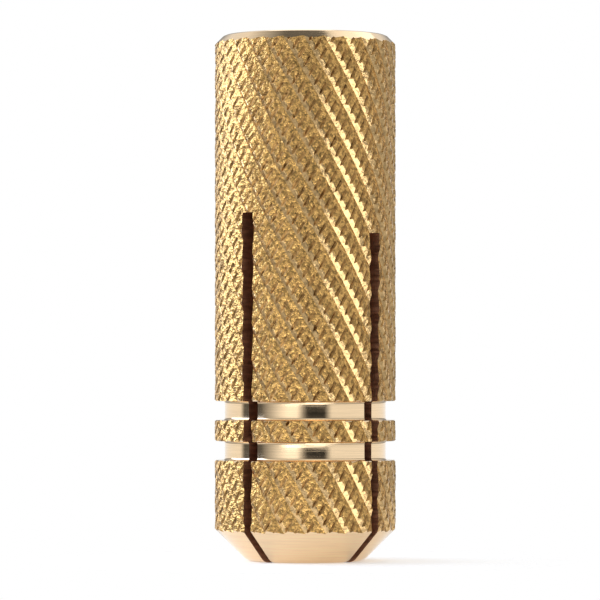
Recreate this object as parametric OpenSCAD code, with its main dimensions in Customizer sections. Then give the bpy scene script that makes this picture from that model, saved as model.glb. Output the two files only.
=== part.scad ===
// Expansion-type threaded insert: one brass sleeve, turned, cross-knurled, bored for a
// metric thread and sawn into four prongs from the nose.
// Millimetres. +Z runs up the bore, and the origin is the centre of the flat nose face.

/* [Bore] */
// Core diameter of the thread
thread_core_d = 6.8; // [6.4:0.1:8.5]
// Pitch of the thread
thread_pitch = 1.25; // [1:0.05:1.5]
// Depth of the tapped bore from the mouth face
thread_depth = 18.5; // [12:0.5:20]
// Depth of the countersink at the mouth
countersink = 0.65; // [0.3:0.05:0.8]
// Length of the cone that narrows the bore towards the nose
spreading_cone = 5.5; // [3:0.5:8]
// How far that cone narrows the bore, on each side
spreading_lip = 1.5; // [1.2:0.1:1.8]

/* [Sleeve] */
// Length from the nose face to the mouth face
sleeve_length = 29; // [25:0.5:30.5]
// Wall from the thread's core to the knurl crests
wall = 1.6; // [1.5:0.1:2.4]
// Chamfer on the outer edge of the mouth
mouth_chamfer = 0.5; // [0.2:0.05:0.6]

/* [Nose] */
// Height of the cone from the nose face to the knurl crests
nose_cone = 1.8; // [1:0.1:2]
// Slope of the nose cone against the nose face
nose_angle = 45; // [45:1:60]
// Radius that rounds the nose cone into the nose face
nose_edge_r = 0.8; // [0.2:0.1:1]

/* [Grooves] */
// Width of each turned groove
groove_width = 1.05; // [0.7:0.05:1.3]
// Depth of each groove below the knurl crests
groove_depth = 0.56; // [0.4:0.02:0.8]
// Radius in the corners of the groove floor
groove_corner_r = 0.15; // [0.05:0.05:0.3]
// Chamfer on the outer edges of each groove
groove_chamfer = 0.08; // [0.02:0.02:0.12]
// Height of the lower groove's middle above the nose face
groove_height = 6.1; // [5:0.1:8]
// Distance between the middles of the two grooves
groove_spacing = 2.2; // [1.8:0.1:3]

/* [Knurl] */
// Ridges around the sleeve, which climb to the left
ridges = 27; // [20:1:28]
// Notch lines around the sleeve, which climb to the right and tooth the ridges
notches = 51; // [40:1:53]
// Angle between the ridges and the sleeve's axis
ridge_angle = 31.25; // [25:0.05:33.5]
// Angle between the notch lines and the sleeve's axis
notch_angle = 33.1; // [25:0.05:35.5]
// Turn of the knurl about the sleeve's axis
knurl_turn = -2.3; // [-7:0.1:7]
// How far below the nose face the knurl starts, in steps from ridge to ridge
knurl_start = 1.56; // [1:0.02:2]
// Where the crest lies between two valleys, as a share of the way to the right
crest_share = 0.25; // [0.2:0.05:0.8]
// Depth from the ridges' teeth to the valleys between the ridges
valley_depth = 0.14; // [0.1:0.02:0.3]
// Depth from the ridges' teeth to the notches between the teeth
notch_depth = 0.08; // [0.04:0.02:0.1]

/* [Slits] */
// Length of the longer saw cut, from the nose face
long_slit = 19.1; // [12:0.1:22]
// Length of the shorter saw cut, from the nose face
short_slit = 18; // [12:0.1:22]
// Width of the cuts at their closed end
slit_width = 0.8; // [0.4:0.05:1]
// Width of the cuts at the nose, where the prongs lean together
slit_nose_width = 0.5; // [0.3:0.05:1]

/* [Hidden] */

core_r = thread_core_d / 2;
crest_r = core_r + wall;
nose_r = crest_r - nose_cone / tan(nose_angle);
valley_r = crest_r - valley_depth;
notch_r = crest_r - notch_depth;
groove_floor_r = crest_r - groove_depth;
groove_heights = [groove_height, groove_height + groove_spacing];

// Metric thread: the angle and depth of its groove, and the facets in one turn
thread_angle = 60;
thread_height = 0.48 * thread_pitch;
thread_steps = 16;

// How far cutting shapes reach past the surfaces that they cut
overcut = 0.1;
envelope_r = crest_r + overcut;
arc_steps = 6;
$fn = 96;

// Axial lengths in which one ridge and one notch line go once around
ridge_lead = 2 * PI * crest_r / tan(ridge_angle);
notch_lead = 2 * PI * crest_r / tan(notch_angle);
// Climb from one ridge to the next along a notch line, and from notch to notch along a ridge
ridge_step = ridge_lead * notch_lead / (ridge_lead + notch_lead) / ridges;
notch_step = ridge_step * ridges / notches;
// Teeth on each ridge, enough to pass both ends of the sleeve
teeth = ceil((sleeve_length + knurl_start * ridge_step) / notch_step) + 1;

// Points on an arc about a centre, from one angle to another
function arc(centre, r, from, to) =
    [for (i = [0 : arc_steps])
        let (angle = from + (to - from) * i / arc_steps)
        centre + r * [cos(angle), sin(angle)]];

// The knurl's point on valley line a and notch line b, at radius r; halves lie in between
function knurl_point(a, b, r) =
    let (
        climb = a * ridge_step - b * notch_step,
        turn = knurl_turn + 360 * (a / ridges - climb / ridge_lead)
    )
    [r * cos(turn), r * sin(turn), climb - knurl_start * ridge_step];

// The notch line at which the ridge after valley i starts, at the nose end
function first_notch(i) = ceil(i * notches / ridges);

// How many notch lines later the next ridge starts
function ridge_shift(i) = first_notch(i + 1) - first_notch(i);

// Place in the list of points of the k-th point on valley i, which touches two ridges
function valley(i, k) =
    let (line = i % ridges)
    line * (teeth + 1) + first_notch(line - 1) - first_notch(-1) + k;

// A bar longer than the sleeve, covered in toothed ridges between straight valleys
module knurled_bar() {
    last_ridge = ridges - 1;
    valley_points = [for (i = [0 : last_ridge], k = [0 : teeth + ridge_shift(i - 1)])
        knurl_point(i, first_notch(i) - k, valley_r)];
    // Each ridge's crest goes notch, tooth, notch and so on
    crest_points = [for (i = [0 : last_ridge], k = [0 : 2 * teeth])
        knurl_point(i + crest_share, first_notch(i) - k / 2, k % 2 == 0 ? notch_r : crest_r)];
    end_points = [[0, 0, -3 * ridge_step], [0, 0, sleeve_length + 3 * ridge_step]];
    crest_start = len(valley_points);
    nose_end = crest_start + len(crest_points);
    mouth_end = nose_end + 1;

    tooth_faces = [for (i = [0 : last_ridge], k = [0 : teeth - 1])
        let (
            low = valley(i, k),
            left = valley(i, k + 1),
            right = valley(i + 1, k + ridge_shift(i)),
            high = valley(i + 1, k + ridge_shift(i) + 1),
            notch = crest_start + i * (2 * teeth + 1) + 2 * k,
            tooth = notch + 1,
            next_notch = notch + 2
        )
        each [
            [low, left, tooth],
            [left, next_notch, tooth],
            [low, tooth, notch],
            [notch, tooth, right],
            [tooth, next_notch, high],
            [tooth, high, right]
        ]];
    nose_faces = [for (i = [0 : last_ridge])
        let (shift = ridge_shift(i), notch = crest_start + i * (2 * teeth + 1))
        each [
            [valley(i, 0), notch, nose_end],
            [notch, valley(i + 1, shift), nose_end],
            for (k = [0 : shift - 1]) [valley(i + 1, k + 1), valley(i + 1, k), nose_end]
        ]];
    mouth_faces = [for (i = [0 : last_ridge])
        let (shift = ridge_shift(i), notch = crest_start + i * (2 * teeth + 1) + 2 * teeth)
        each [
            [notch, valley(i, teeth), mouth_end],
            [valley(i + 1, teeth + shift), notch, mouth_end],
            for (k = [teeth : teeth + shift - 1]) [valley(i + 1, k), valley(i + 1, k + 1), mouth_end]
        ]];
    polyhedron(
        concat(valley_points, crest_points, end_points),
        concat(tooth_faces, nose_faces, mouth_faces)
    );
}

// Half section of one groove, from its nose side to its mouth side
function groove_outline(height) =
    let (
        low = height - groove_width / 2,
        high = height + groove_width / 2,
        fillet_r = groove_floor_r + groove_corner_r
    )
    concat(
        [[envelope_r, low - groove_chamfer - overcut], [crest_r - groove_chamfer, low]],
        arc([fillet_r, low + groove_corner_r], groove_corner_r, 270, 180),
        arc([fillet_r, high - groove_corner_r], groove_corner_r, 180, 90),
        [[crest_r - groove_chamfer, high], [envelope_r, high + groove_chamfer + overcut]]
    );

// Half section of the nose: flat face, rounded edge and cone
function nose_outline() =
    let (flat_r = nose_r - nose_edge_r * tan(nose_angle / 2))
    concat(
        arc([flat_r, nose_edge_r], nose_edge_r, 270, 270 + nose_angle),
        [[envelope_r, (envelope_r - nose_r) * tan(nose_angle)]]
    );

// What the lathe leaves: nose cone, grooves and mouth chamfer, with room for the knurl
module turned_envelope() {
    rotate_extrude()
        polygon(concat(
            [[0, 0]],
            nose_outline(),
            groove_outline(groove_heights[0]),
            groove_outline(groove_heights[1]),
            [
                [envelope_r, sleeve_length - mouth_chamfer - overcut],
                [crest_r - mouth_chamfer, sleeve_length],
                [0, sleeve_length]
            ]
        ));
}

// Countersink, tapped bore, spreading cone and nose hole in one boring
module bore() {
    nose_hole_r = core_r - spreading_lip;
    thread_end = sleeve_length - thread_depth;
    countersink_r = core_r + countersink;
    rotate_extrude()
        polygon([
            [0, -overcut],
            [nose_hole_r, -overcut],
            [nose_hole_r, thread_end - spreading_cone],
            [core_r, thread_end],
            [core_r, sleeve_length - countersink],
            [countersink_r, sleeve_length],
            [countersink_r, sleeve_length + overcut],
            [0, sleeve_length + overcut]
        ]);
}

// The thread's groove: right-handed, deepening over its first half turn, and open at the mouth
module thread_groove() {
    inner_r = core_r - overcut;
    start = sleeve_length - thread_depth + thread_pitch;
    last = ceil((sleeve_length + thread_pitch - start) / thread_pitch * thread_steps);
    root_half = thread_pitch / 16;
    points = [for (m = [0 : last])
        let (
            turn = 360 * m / thread_steps,
            height = start + thread_pitch * m / thread_steps,
            outer_r = core_r + thread_height * min(1, 2 * (m + 1) / thread_steps),
            inner_half = root_half + (outer_r - inner_r) * tan(thread_angle / 2)
        )
        for (corner = [
            [inner_r, -inner_half],
            [outer_r, -root_half],
            [outer_r, root_half],
            [inner_r, inner_half]
        ])
        [corner[0] * cos(turn), corner[0] * sin(turn), height + corner[1]]];
    sides = [for (m = [0 : last - 1], i = [0 : 3])
        let (a = 4 * m + i, b = 4 * m + (i + 1) % 4)
        each [[a, b, b + 4], [a, b + 4, a + 4]]];
    ends = [[0, 3, 2, 1], [4 * last, 4 * last + 1, 4 * last + 2, 4 * last + 3]];
    polyhedron(points, concat(sides, ends));
}

// One saw cut through the nose and both walls, in the plane of X and Z
module saw_cut(cut_length) {
    below = overcut * (slit_width - slit_nose_width) / cut_length;
    rotate([90, 0, 90])
        linear_extrude(height = 2 * envelope_r, center = true)
            polygon([
                [-(slit_nose_width - below) / 2, -overcut],
                [(slit_nose_width - below) / 2, -overcut],
                [slit_width / 2, cut_length],
                [-slit_width / 2, cut_length]
            ]);
}

module insert_sleeve() {
    color("darkgoldenrod")
        difference() {
            intersection() {
                knurled_bar();
                turned_envelope();
            }
            bore();
            thread_groove();
            saw_cut(short_slit);
            rotate(90) saw_cut(long_slit);
        }
}

insert_sleeve();
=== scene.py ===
"""Knurled brass threaded insert, standing on its nose as in the photograph.

The sleeve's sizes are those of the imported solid. This script adds what the solid leaves out: the
knurl's worn and uneven teeth, the fine steps of the thread, the tool marks and the brass itself.
Lengths are in millimetres until the finished mesh is scaled to metres.
"""

import math

import bpy
import numpy as np
from mathutils import Matrix, Vector


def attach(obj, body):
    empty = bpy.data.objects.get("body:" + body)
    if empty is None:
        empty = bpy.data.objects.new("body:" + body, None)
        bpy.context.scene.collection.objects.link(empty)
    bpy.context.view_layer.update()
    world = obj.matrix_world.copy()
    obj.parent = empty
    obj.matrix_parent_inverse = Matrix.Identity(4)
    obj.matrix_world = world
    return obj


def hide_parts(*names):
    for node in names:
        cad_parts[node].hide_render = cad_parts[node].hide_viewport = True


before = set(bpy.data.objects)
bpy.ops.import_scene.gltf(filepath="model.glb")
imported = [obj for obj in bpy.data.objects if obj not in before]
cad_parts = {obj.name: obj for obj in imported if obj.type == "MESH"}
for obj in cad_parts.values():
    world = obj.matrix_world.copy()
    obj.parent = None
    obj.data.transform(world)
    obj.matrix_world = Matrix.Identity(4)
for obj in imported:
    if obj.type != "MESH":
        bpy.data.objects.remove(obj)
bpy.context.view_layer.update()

MM = 0.001

# Sleeve
LENGTH = 29.0
CREST_R = 5.0
MOUTH_CHAMFER = 0.5
# Small bevel on the inner edge of the chamfer: how far it goes down, and inwards
MOUTH_BEVEL_DOWN = 0.06
MOUTH_BEVEL_IN = 0.08
NOSE_R = 3.2
NOSE_EDGE_R = 0.8
NOSE_ANGLE = 45
GROOVE_WIDTH = 1.05
GROOVE_FLOOR_R = CREST_R - 0.56
GROOVE_CORNER_R = 0.15
GROOVE_CHAMFER = 0.08
GROOVE_HEIGHTS = (6.1, 8.3)

# Knurl
RIDGES = 27
NOTCHES = 51
RIDGE_ANGLE = math.radians(31.25)
NOTCH_ANGLE = math.radians(33.1)
# Where the crest lies between two valleys, as a share of the way to the right
CREST = 0.25
VALLEY_DEPTH = 0.14
NOTCH_DEPTH = 0.09
# Half the worn width of a crest, and half the width of a notch, in their pitches
WORN_CREST = 0.03
NOTCH_HALF = 0.2
# Where the notches run out, on the way to the next valley, and how deep they still are there
NOTCH_FOOT = 0.74
NOTCH_FOOT_DEPTH = 0.02
# How far the teeth are worn down
WORN_DEPTH = 0.004
# Spread of the points along and across the ridges, in their pitches, and of their depth
SPREAD_ALONG = 0.03
SPREAD_ACROSS = 0.008
SPREAD_DEPTH = 0.005
# How far the points of the bar's ends lie past the sleeve
BAR_END = 3.0
# Turn of the knurl about the axis, and how far below the nose it starts, in ridge steps
KNURL_TURN = math.radians(-2.3)
KNURL_START = 1.56
RIDGE_LEAD = 2 * math.pi * CREST_R / math.tan(RIDGE_ANGLE)
NOTCH_LEAD = 2 * math.pi * CREST_R / math.tan(NOTCH_ANGLE)
# Climb from ridge to ridge along a notch line, and from notch to notch along a ridge
RIDGE_STEP = RIDGE_LEAD * NOTCH_LEAD / (RIDGE_LEAD + NOTCH_LEAD) / RIDGES
NOTCH_STEP = RIDGE_STEP * RIDGES / NOTCHES

# Bore and thread
CORE_R = 3.4
MAJOR_R = 4.0
THREAD_PITCH = 1.25
THREAD_END = LENGTH - 18.5
SPREADING_CONE = 5.5
NOSE_HOLE_R = 1.9
COUNTERSINK_R = 4.05

# Saw cuts
LONG_SLIT = 19.1
SHORT_SLIT = 18.0
SLIT_WIDTH = 0.8
SLIT_NOSE_WIDTH = 0.5

# Camera, from the photograph's perspective
CAMERA_AZIMUTH = math.radians(39.6)
CAMERA_DISTANCE = 226.0
CAMERA_HEIGHT = 10.26
AIM_HEIGHT = 14.4
AIM_SIDE = -0.29
FOCAL_PIXELS = 4091.0
IMAGE_PIXELS = 600.0

# Studio light: brightness by degrees right of the camera, in a band at the sleeve's height, which
# is given by the sine of the height; and the brightness of the rest of the room by that sine
PEAK = 3.0
AROUND = [
    (-180, 1.0), (-106, 1.0), (-98, 0.1), (-66, 0.1), (-58, 0.35), (-46, 0.7), (-34, 1.1),
    (-24, 1.35), (-12, 1.35), (-3, 0.35), (3, 0.03), (28, 0.02), (38, 1.0), (180, 1.0),
]
BAND = [(-1, 0), (-0.18, 0), (-0.1, 1), (0.08, 1), (0.14, 0), (1, 0)]
REST = [
    (-1, 0.55), (-0.35, 0.55), (-0.2, 0.33), (0.26, 0.33), (0.5, 0.9), (0.75, 0.95),
    (0.92, 0.4), (0.97, 0.15), (1, 0.15),
]

# Floor: from where to where it fades out, and its own brightness towards the camera
FLOOR_FADE = 6.5
FLOOR_R = 15.0
FLOOR_GLOW = 0.31

# What each kind of surface is called in the list of finishes
LIT_FLANK, LAND, SHADED_NOTCH, TURNED, SAW_CUT_SHADE, BORED = range(6)

OVERCUT = 0.1
SHARP_ANGLE = math.radians(18)
TURN_STEPS = 192
rng = np.random.default_rng(7)

toward_camera = Vector((math.sin(CAMERA_AZIMUTH), -math.cos(CAMERA_AZIMUTH), 0.0))
camera_right = Vector((math.cos(CAMERA_AZIMUTH), math.sin(CAMERA_AZIMUTH), 0.0))


def make_camera():
    data = bpy.data.cameras.new("camera")
    data.sensor_width = 36.0
    data.lens = FOCAL_PIXELS * data.sensor_width / IMAGE_PIXELS
    data.clip_start = 0.001
    data.clip_end = 10.0
    camera = bpy.data.objects.new("camera", data)
    bpy.context.collection.objects.link(camera)
    place = toward_camera * CAMERA_DISTANCE + Vector((0, 0, CAMERA_HEIGHT))
    aim = camera_right * AIM_SIDE + Vector((0, 0, AIM_HEIGHT))
    camera.location = place * MM
    camera.rotation_mode = "QUATERNION"
    camera.rotation_quaternion = (aim - place).to_track_quat("-Z", "Y")
    bpy.context.scene.camera = camera


def new_object(name, points, faces, kinds=None):
    """A mesh object, whose faces take their finishes from kinds: a list, or one kind for all."""
    mesh = bpy.data.meshes.new(name)
    mesh.from_pydata([tuple(p) for p in points], [], faces)
    if kinds is not None:
        for finish in finishes:
            mesh.materials.append(finish)
        face_kinds = np.broadcast_to(kinds, len(faces)).astype(np.int32)
        mesh.polygons.foreach_set("material_index", face_kinds)
    mesh.update()
    obj = bpy.data.objects.new(name, mesh)
    bpy.context.collection.objects.link(obj)
    return obj


def knurl_points(across, along, depth):
    """Points of the knurl, in ridge pitches across the ridges and notch pitches along them."""
    climb = across * RIDGE_STEP - along * NOTCH_STEP
    turn = KNURL_TURN + 2 * math.pi * (across / RIDGES - climb / RIDGE_LEAD)
    height = climb - KNURL_START * RIDGE_STEP
    r = CREST_R - depth
    return np.stack([r * np.cos(turn), r * np.sin(turn), height], axis=-1)


def knurled_bar():
    """A bar longer than the sleeve: ridges with a steep left flank, which notches cut into teeth.

    Each ridge lies between two straight valleys and has three lines of points, the edges of its
    crest and its foot. A line goes notch, tooth, tooth, notch and so on, and the next ridge starts
    a few notches further down.
    """
    teeth = math.ceil((LENGTH + KNURL_START * RIDGE_STEP) / NOTCH_STEP) + 2
    blocks = []
    total = 0

    def first(i):
        return math.ceil(i * NOTCHES / RIDGES)

    def add_line(i, rows, tooth, notch):
        """Points on ridge i; tooth and notch are the place across the ridge and the depth there."""
        nonlocal total
        j = np.arange(rows + 1)
        in_notch = j % 3 == 0
        along = first(i) - j // 3 - np.choose(j % 3, [0.0, NOTCH_HALF, 1 - NOTCH_HALF])
        along = along + np.where(in_notch, 0.0, rng.normal(0, SPREAD_ALONG, rows + 1))
        across = i + np.where(in_notch, notch[0], tooth[0]) + rng.normal(0, SPREAD_ACROSS, rows + 1)
        depth = np.where(in_notch, notch[1], tooth[1]) + rng.normal(0, SPREAD_DEPTH, rows + 1)
        blocks.append(knurl_points(across, along, np.maximum(depth, 0)))
        total += rows + 1
        return total - rows - 1

    valley = (0.0, VALLEY_DEPTH)
    left_edge, right_edge = CREST - WORN_CREST, CREST + WORN_CREST
    notch_start = left_edge * (1 - NOTCH_DEPTH / VALLEY_DEPTH)
    foot_depth = VALLEY_DEPTH * (NOTCH_FOOT - right_edge) / (1 - right_edge)
    foot = (NOTCH_FOOT, foot_depth)
    notch_foot = (NOTCH_FOOT, foot_depth + NOTCH_FOOT_DEPTH)

    valleys = []
    for i in range(RIDGES):
        valleys.append(add_line(i, 3 * (teeth + first(i) - first(i - 1)), valley, valley))
    valleys.append(valleys[0])
    faces = []
    kinds = []
    rows = 3 * teeth
    nose, mouth = total, total + 1
    blocks.append(np.array([[0, 0, -BAR_END], [0, 0, LENGTH + BAR_END]]))
    total += 2
    for i in range(RIDGES):
        shift = 3 * (first(i + 1) - first(i))
        lines = [
            valleys[i],
            add_line(i, rows, (left_edge, WORN_DEPTH), (notch_start, NOTCH_DEPTH)),
            add_line(i, rows, (right_edge, WORN_DEPTH), (right_edge, NOTCH_DEPTH)),
            add_line(i, rows, foot, notch_foot),
            valleys[i + 1] + shift,
        ]
        # Faces in the notches take the much darker notch brass, which is painted shade in the
        # notches
        strips = zip(lines, lines[1:], (LIT_FLANK, LIT_FLANK, LAND, LAND), (LIT_FLANK, SHADED_NOTCH, SHADED_NOTCH, LAND))
        # Steep flanks and worn crests take the paler flank brass, which is painted highlight
        for left, right, on_tooth, in_notch in strips:
            for j in range(rows):
                faces.append((left + j, right + j, right + j + 1, left + j + 1))
                kinds.append(on_tooth if j % 3 == 1 else in_notch)
            faces.append((right, left, nose))
            faces.append((left + rows, right + rows, mouth))
            kinds += [TURNED, TURNED]
        for j in range(shift):
            start = valleys[i + 1] + j
            faces.append((start, start + 1, nose))
            faces.append((start + rows + 1, start + rows, mouth))
            kinds += [TURNED, TURNED]
    return new_object("insert_sleeve_bar", np.concatenate(blocks), faces, kinds)


def arc(x, y, r, start, end, steps=8):
    angles = np.radians(np.linspace(start, end, steps + 1))
    return [(x + r * math.cos(a), y + r * math.sin(a)) for a in angles]


def revolve(name, outline, kind):
    """Closed solid turned from a half section that starts and ends on the axis."""
    steps = TURN_STEPS
    angles = np.arange(steps) * 2 * math.pi / steps
    inner = outline[1:-1]
    points = [(r * math.cos(a), r * math.sin(a), z) for r, z in inner for a in angles]
    bottom, top = len(points), len(points) + 1
    points += [(0, 0, outline[0][1]), (0, 0, outline[-1][1])]
    faces = []
    for j in range(len(inner) - 1):
        for m in range(steps):
            n = (m + 1) % steps
            faces.append((j * steps + m, j * steps + n, (j + 1) * steps + n, (j + 1) * steps + m))
    last = (len(inner) - 1) * steps
    for m in range(steps):
        n = (m + 1) % steps
        faces.append((n, m, bottom))
        faces.append((last + m, last + n, top))
    return new_object(name, points, faces, kind)


def groove_outline(height):
    low, high = height - GROOVE_WIDTH / 2, height + GROOVE_WIDTH / 2
    envelope_r = CREST_R + OVERCUT
    r = GROOVE_CORNER_R
    return (
        [(envelope_r, low - OVERCUT - GROOVE_CHAMFER), (CREST_R - GROOVE_CHAMFER, low)]
        + arc(GROOVE_FLOOR_R + r, low + r, r, 270, 180)
        + arc(GROOVE_FLOOR_R + r, high - r, r, 180, 90)
        + [(CREST_R - GROOVE_CHAMFER, high), (envelope_r, high + OVERCUT + GROOVE_CHAMFER)]
    )


def turned_envelope():
    envelope_r = CREST_R + OVERCUT
    flat_r = NOSE_R - NOSE_EDGE_R * math.tan(math.radians(NOSE_ANGLE / 2))
    outline = [(0, 0)]
    outline += arc(flat_r, NOSE_EDGE_R, NOSE_EDGE_R, 270, 270 + NOSE_ANGLE)
    outline += [(envelope_r, envelope_r - NOSE_R)]
    for height in GROOVE_HEIGHTS:
        outline += groove_outline(height)
    outline += [
        (envelope_r, LENGTH - MOUTH_CHAMFER - OVERCUT),
        (CREST_R - MOUTH_CHAMFER + MOUTH_BEVEL_DOWN, LENGTH - MOUTH_BEVEL_DOWN),
        (CREST_R - MOUTH_CHAMFER - MOUTH_BEVEL_IN, LENGTH),
        (0, LENGTH),
    ]
    return revolve("envelope", outline, TURNED)


def plain_bore():
    return revolve(
        "bore",
        [
            (0, -OVERCUT),
            (NOSE_HOLE_R, -OVERCUT),
            (NOSE_HOLE_R, THREAD_END - SPREADING_CONE),
            (CORE_R, THREAD_END),
            (CORE_R, LENGTH - (COUNTERSINK_R - CORE_R)),
            (COUNTERSINK_R, LENGTH),
            (COUNTERSINK_R, LENGTH + OVERCUT),
            (0, LENGTH + OVERCUT),
        ],
        BORED,
    )


def thread_tool():
    """The shape that the tap leaves: a right-hand helix that runs out at the spreading cone."""
    steps = 72
    # Places along the pitch, and how much of the thread's depth is cut there
    profile = [(0.0, 0.0), (0.18, 0.0), (0.5, 1.0), (0.6, 1.0), (0.92, 0.0)]
    inside = 0.05
    run_out = 0.2
    turns = math.ceil((LENGTH - THREAD_END) / THREAD_PITCH) + 3
    per_turn = len(profile)
    rows = turns * per_turn
    base = THREAD_END - 1.55 * THREAD_PITCH
    points = []
    for m in range(steps):
        part = m / steps
        for j in range(rows + per_turn):
            share, out = profile[j % per_turn]
            z = base + THREAD_PITCH * (j // per_turn + share + part)
            fade = min(1.0, max(0.0, (z - THREAD_END - run_out) / THREAD_PITCH))
            r = CORE_R - inside + (MAJOR_R - CORE_R + inside) * out * fade
            if z < THREAD_END:
                r = min(r, 0.9 * NOSE_HOLE_R)
            angle = 2 * math.pi * part
            points.append((r * math.cos(angle), r * math.sin(angle), z))
    stride = rows + per_turn
    bottom, top = len(points), len(points) + 1
    points += [(0, 0, base - 2), (0, 0, base + THREAD_PITCH * (turns + 3))]
    faces = []
    for m in range(steps):
        here = m * stride
        wrap = m == steps - 1
        there = 0 if wrap else here + stride
        shift = per_turn if wrap else 0
        for j in range(rows - 1):
            a, b = here + j, here + j + 1
            faces.append((a, there + j + shift, there + j + 1 + shift, b))
        faces.append((there + shift, here, bottom))
        faces.append((here + rows - 1, there + rows - 1 + shift, top))
    for j in range(per_turn):
        faces.append((j, j + 1, bottom))
        faces.append((rows - 1 + j + 1, rows - 1 + j, top))
    return new_object("thread_tool", points, faces, BORED)


def saw_cut(name, cut_length, turned):
    """One saw blade's path through the nose, narrower at the nose than at its closed end."""
    reach = CREST_R + OVERCUT
    nose_half = (SLIT_NOSE_WIDTH - OVERCUT * (SLIT_WIDTH - SLIT_NOSE_WIDTH) / cut_length) / 2
    section = [
        (-nose_half, -OVERCUT),
        (nose_half, -OVERCUT),
        (SLIT_WIDTH / 2, cut_length),
        (-SLIT_WIDTH / 2, cut_length),
    ]
    points = [(-reach, y, z) for y, z in section] + [(reach, y, z) for y, z in section]
    if turned:
        points = [(-y, x, z) for x, y, z in points]
    faces = [(3, 2, 1, 0), (4, 5, 6, 7), (0, 1, 5, 4), (1, 2, 6, 5), (2, 3, 7, 6), (3, 0, 4, 7)]
    # The saw cut's faces carry the dark sawn brass, which is painted shade inside the slits
    return new_object(name, points, faces, SAW_CUT_SHADE)


def make_sleeve():
    bar = knurled_bar()
    tools = [
        (turned_envelope(), "INTERSECT"),
        (plain_bore(), "DIFFERENCE"),
        (thread_tool(), "DIFFERENCE"),
        (saw_cut("short_cut", SHORT_SLIT, False), "DIFFERENCE"),
        (saw_cut("long_cut", LONG_SLIT, True), "DIFFERENCE"),
    ]
    for tool, operation in tools:
        step = bar.modifiers.new(tool.name, "BOOLEAN")
        step.solver = "MANIFOLD"
        step.operation = operation
        step.object = tool
    depsgraph = bpy.context.evaluated_depsgraph_get()
    mesh = bpy.data.meshes.new_from_object(bar.evaluated_get(depsgraph))
    mesh.name = "insert_sleeve_brass"
    for obj in [bar] + [tool for tool, _ in tools]:
        old = obj.data
        bpy.data.objects.remove(obj)
        bpy.data.meshes.remove(old)
    piece = bpy.data.objects.new("insert_sleeve_brass", mesh)
    bpy.context.collection.objects.link(piece)
    return piece


def brass(name, colour, roughness, grain, relief_height, dark):
    """Brass whose tone, gloss and relief vary together.

    The grain is the pattern's scale along X, Y and Z, per mm, and dark the share of the colour left
    in the relief's hollows: a random tone that is also painted shade in those hollows.
    """
    material = bpy.data.materials.new(name)
    material.use_nodes = True
    nodes = material.node_tree.nodes
    links = material.node_tree.links
    shader = nodes["Principled BSDF"]
    shader.inputs["Metallic"].default_value = 1.0

    place = nodes.new("ShaderNodeTexCoord")
    stretch = nodes.new("ShaderNodeMapping")
    stretch.inputs["Scale"].default_value = [g / MM for g in grain]
    links.new(place.outputs["Object"], stretch.inputs["Vector"])

    noise = nodes.new("ShaderNodeTexNoise")
    noise.inputs["Scale"].default_value = 1.0
    noise.inputs["Detail"].default_value = 2.0
    links.new(stretch.outputs["Vector"], noise.inputs["Vector"])

    # The colour darkens where the noise, and so the relief, is low: random tone, and painted shade
    # in the relief's hollows
    tone = nodes.new("ShaderNodeValToRGB")
    tone.color_ramp.elements[0].position = 0.38
    tone.color_ramp.elements[0].color = [c * dark for c in colour] + [1]
    tone.color_ramp.elements[1].position = 0.6
    tone.color_ramp.elements[1].color = list(colour) + [1]
    links.new(noise.outputs["Fac"], tone.inputs["Fac"])
    links.new(tone.outputs["Color"], shader.inputs["Base Color"])

    gloss = nodes.new("ShaderNodeMapRange")
    gloss.inputs["From Min"].default_value = 0.3
    gloss.inputs["From Max"].default_value = 0.7
    gloss.inputs["To Min"].default_value = roughness * 0.8
    gloss.inputs["To Max"].default_value = roughness * 1.25
    links.new(noise.outputs["Fac"], gloss.inputs["Value"])
    links.new(gloss.outputs["Result"], shader.inputs["Roughness"])

    relief = nodes.new("ShaderNodeBump")
    relief.inputs["Strength"].default_value = 1.0
    relief.inputs["Distance"].default_value = relief_height * MM
    links.new(noise.outputs["Fac"], relief.inputs["Height"])
    links.new(relief.outputs["Normal"], shader.inputs["Normal"])
    return material


def finish_sleeve(piece):
    mesh = piece.data
    mesh.polygons.foreach_set("use_smooth", np.ones(len(mesh.polygons), bool))
    mesh.transform(Matrix.Scale(MM, 4))
    mesh.set_sharp_from_angle(angle=SHARP_ANGLE)
    mesh.update()
    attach(piece, "root")
    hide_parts("insert_sleeve")


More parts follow.
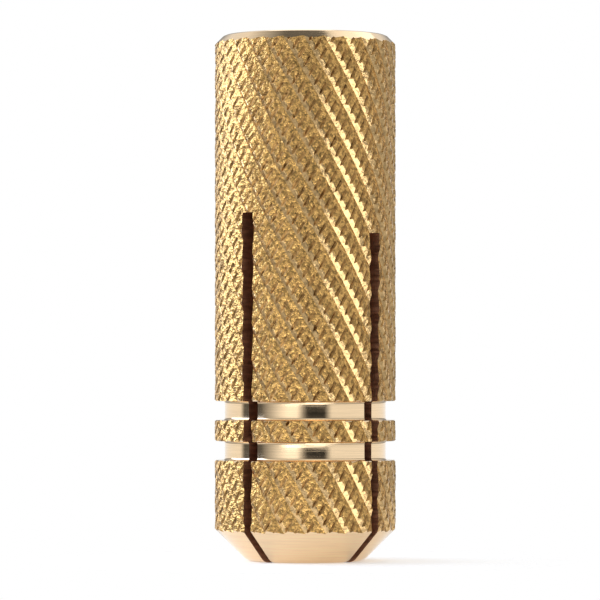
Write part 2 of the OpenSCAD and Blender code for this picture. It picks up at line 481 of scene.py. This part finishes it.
def make_floor():
    """A round white table top, which keeps the shadow, fades outwards and is clear from below."""
    steps = 96
    angles = np.arange(steps) * 2 * math.pi / steps
    points = [(FLOOR_R * MM * math.cos(a), FLOOR_R * MM * math.sin(a), 0) for a in angles]
    floor = new_object("floor", points, [tuple(range(steps))])
    material = bpy.data.materials.new("floor_white")
    material.use_nodes = True
    nodes = material.node_tree.nodes
    links = material.node_tree.links
    nodes.remove(nodes["Principled BSDF"])
    paper = nodes.new("ShaderNodeBsdfDiffuse")
    paper.inputs["Color"].default_value = (0.9, 0.9, 0.9, 1)
    white = nodes.new("ShaderNodeEmission")
    white.inputs["Color"].default_value = (1, 1, 1, 1)
    ray = nodes.new("ShaderNodeLightPath")
    seen = nodes.new("ShaderNodeMath")
    seen.operation = "MAXIMUM"
    links.new(ray.outputs["Is Camera Ray"], seen.inputs[0])
    links.new(ray.outputs["Is Glossy Ray"], seen.inputs[1])
    part = nodes.new("ShaderNodeMath")
    part.operation = "MULTIPLY"
    part.inputs[1].default_value = FLOOR_GLOW
    links.new(seen.outputs[0], part.inputs[0])
    links.new(part.outputs[0], white.inputs["Strength"])
    both = nodes.new("ShaderNodeAddShader")
    links.new(paper.outputs["BSDF"], both.inputs[0])
    links.new(white.outputs["Emission"], both.inputs[1])
    clear = nodes.new("ShaderNodeBsdfTransparent")
    side = nodes.new("ShaderNodeNewGeometry")
    place = nodes.new("ShaderNodeTexCoord")
    radius = nodes.new("ShaderNodeVectorMath")
    radius.operation = "LENGTH"
    links.new(place.outputs["Object"], radius.inputs[0])
    fade = nodes.new("ShaderNodeMapRange")
    fade.inputs["From Min"].default_value = FLOOR_FADE * MM
    fade.inputs["From Max"].default_value = FLOOR_R * MM
    links.new(radius.outputs["Value"], fade.inputs["Value"])
    gone = nodes.new("ShaderNodeMath")
    gone.operation = "MAXIMUM"
    links.new(side.outputs["Backfacing"], gone.inputs[0])
    links.new(fade.outputs["Result"], gone.inputs[1])
    top_only = nodes.new("ShaderNodeMixShader")
    links.new(gone.outputs[0], top_only.inputs["Fac"])
    links.new(both.outputs["Shader"], top_only.inputs[1])
    links.new(clear.outputs["BSDF"], top_only.inputs[2])
    links.new(top_only.outputs["Shader"], nodes["Material Output"].inputs["Surface"])
    floor.data.materials.append(material)


def brightness_ramp(nodes, stops, low, high, full):
    """A grey ramp from stops of a place between low and high and the brightness there."""
    ramp = nodes.new("ShaderNodeValToRGB")
    while len(ramp.color_ramp.elements) < len(stops):
        ramp.color_ramp.elements.new(0.5)
    for element, (place, light) in zip(ramp.color_ramp.elements, stops):
        element.position = (place - low) / (high - low)
        element.color = (light / full, light / full, light / full, 1)
    return ramp


def make_world():
    """A white studio: bright left and right of the camera at the sleeve's height, dark between."""
    world = bpy.data.worlds.new("studio")
    bpy.context.scene.world = world
    world.use_nodes = True
    nodes = world.node_tree.nodes
    links = world.node_tree.links
    room = nodes["Background"]
    room.inputs["Strength"].default_value = PEAK

    place = nodes.new("ShaderNodeTexCoord")
    turn = nodes.new("ShaderNodeVectorRotate")
    turn.rotation_type = "Z_AXIS"
    turn.inputs["Angle"].default_value = -CAMERA_AZIMUTH
    links.new(place.outputs["Generated"], turn.inputs["Vector"])
    split = nodes.new("ShaderNodeSeparateXYZ")
    links.new(turn.outputs["Vector"], split.inputs["Vector"])

    # Degrees to the right of the camera, and the brightness there at the sleeve's height
    flip = nodes.new("ShaderNodeMath")
    flip.operation = "MULTIPLY"
    flip.inputs[1].default_value = -1.0
    links.new(split.outputs["Y"], flip.inputs[0])
    angle = nodes.new("ShaderNodeMath")
    angle.operation = "ARCTAN2"
    links.new(split.outputs["X"], angle.inputs[0])
    links.new(flip.outputs[0], angle.inputs[1])
    share = nodes.new("ShaderNodeMapRange")
    share.inputs["From Min"].default_value = -math.pi
    share.inputs["From Max"].default_value = math.pi
    links.new(angle.outputs[0], share.inputs["Value"])
    around = brightness_ramp(nodes, AROUND, -180, 180, PEAK)
    links.new(share.outputs["Result"], around.inputs["Fac"])

    # Sine of the height above the horizon: how much of that is seen there, and the rest of the room
    height = nodes.new("ShaderNodeMapRange")
    height.inputs["From Min"].default_value = -1.0
    height.inputs["From Max"].default_value = 1.0
    links.new(split.outputs["Z"], height.inputs["Value"])
    band = brightness_ramp(nodes, BAND, -1, 1, 1)
    links.new(height.outputs["Result"], band.inputs["Fac"])
    rest = brightness_ramp(nodes, REST, -1, 1, PEAK)
    links.new(height.outputs["Result"], rest.inputs["Fac"])
    sum_up = nodes.new("ShaderNodeMix")
    sum_up.data_type = "RGBA"
    links.new(band.outputs["Color"], sum_up.inputs["Factor"])
    links.new(rest.outputs["Color"], sum_up.inputs["A"])
    links.new(around.outputs["Color"], sum_up.inputs["B"])
    links.new(sum_up.outputs["Result"], room.inputs["Color"])

    white = nodes.new("ShaderNodeBackground")
    white.inputs["Color"].default_value = (1, 1, 1, 1)
    white.inputs["Strength"].default_value = 1.0
    ray = nodes.new("ShaderNodeLightPath")
    both = nodes.new("ShaderNodeMixShader")
    links.new(ray.outputs["Is Camera Ray"], both.inputs["Fac"])
    links.new(room.outputs["Background"], both.inputs[1])
    links.new(white.outputs["Background"], both.inputs[2])
    links.new(both.outputs["Shader"], nodes["World Output"].inputs["Surface"])


def around_camera(angle, rise, distance):
    """A place by its degrees right of the camera, degrees above the floor and distance in mm."""
    a, e = math.radians(angle), math.radians(rise)
    way = toward_camera * math.cos(a) + camera_right * math.sin(a)
    return way * (distance * math.cos(e)) + Vector((0, 0, distance * math.sin(e)))


def make_lamp(name, place, aim, width, length, brightness, colour=(1, 1, 1)):
    """A soft box that is as bright as a white surface times its brightness, its width level."""
    data = bpy.data.lights.new(name, "AREA")
    data.shape = "RECTANGLE"
    data.color = colour
    data.size = width * MM
    data.size_y = length * MM
    data.energy = brightness * math.pi * data.size * data.size_y
    lamp = bpy.data.objects.new(name, data)
    bpy.context.collection.objects.link(lamp)
    lamp.visible_camera = False
    back = (place - aim).normalized()
    level = camera_right if abs(back.z) > 0.99 else Vector((0, 0, 1)).cross(back).normalized()
    lamp.location = place * MM
    lamp.rotation_mode = "QUATERNION"
    lamp.rotation_quaternion = Matrix((level, back.cross(level), back)).transposed().to_quaternion()


# Each finish's last number is the share of its colour left in the relief's hollows: random tone,
# and painted shade there
finishes = [
    # Paler, creamier brass on the steep flanks and worn crests: painted highlight for their bright
    # stripes
    brass("brass_flank_painted_highlight", (0.88, 0.59, 0.27), 0.20, (4.5, 4.5, 4.5), 0.04, 0.65),
    brass("brass_land", (0.86, 0.515, 0.17), 0.22, (5.4, 5.4, 5.4), 0.1, 0.42),
    # Much darker brass for the faces in the notches: painted shade in the notches
    brass("brass_notch_painted_shade", (0.5, 0.28, 0.095), 0.34, (4.5, 4.5, 4.5), 0.1, 0.5),
    brass("brass_turned", (0.90, 0.68, 0.43), 0.11, (0.4, 0.4, 14), 0.002, 0.92),
    # Dark brown brass on the saw cut walls: painted shade inside the narrow slits
    brass("brass_sawn_painted_shade", (0.58, 0.31, 0.18), 0.5, (1, 1, 10), 0.006, 0.8),
    brass("brass_bored", (0.74, 0.47, 0.20), 0.25, (1, 1, 8), 0.003, 0.86),
]
make_camera()
finish_sleeve(make_sleeve())
make_floor()
make_world()
middle = Vector((0, 0, LENGTH / 2))
up = Vector((0, 0, 1))
make_lamp("left_box", around_camera(-97, 23, 300), middle, 420, 170, 2.75, (0.9, 1.06, 1.42))
make_lamp("back_box", around_camera(165, 62, 300), middle, 200, 200, 0.75)
# White cards on the floor in front of the sleeve, for the ridges' lower flanks
for name, angle, distance, width, length, brightness in (
    ("near_card", 16, 15, 8, 14, 1.4),
    ("card", 9, 33, 31, 20, 1.95),
    ("far_card", 0, 58, 66, 28, 1.95),
):
    card = around_camera(angle, 0, distance) + up * 0.2
    make_lamp(name, card, card + up, width, length, brightness)

bpy.context.scene.view_settings.view_transform = "Standard"
